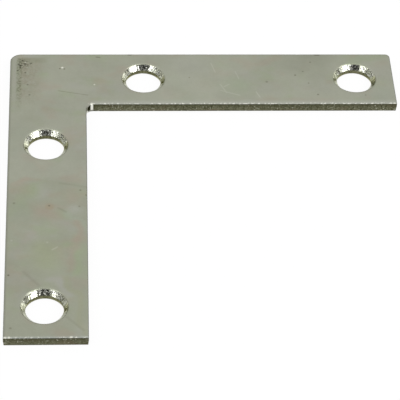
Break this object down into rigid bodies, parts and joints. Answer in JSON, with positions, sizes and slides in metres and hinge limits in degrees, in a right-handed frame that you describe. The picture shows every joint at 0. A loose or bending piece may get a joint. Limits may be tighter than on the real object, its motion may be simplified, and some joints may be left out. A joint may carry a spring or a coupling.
{
  "type": "flat corner iron",
  "caption": "Flat L-shaped steel corner iron with countersunk screw holes along both arms, screwed flat across a wooden joint.",
  "frame": {"origin": "under the middle of the square that the two arms span, in the plane of the plain face that rests on the wood", "axes": "+X along one arm from the outer corner towards its end, -Y along the other arm towards its end, +Z out of the countersunk face"},
  "size_m": [0.076, 0.076, 0.002],
  "materials": {
    "zinc_plated_steel": "clear zinc plating over cold-rolled steel strip, satin, slightly greenish grey, sheared edges darker"
  },
  "bodies": {
    "root": {"corner_plate": "zinc_plated_steel"}
  },
  "joints": []
}
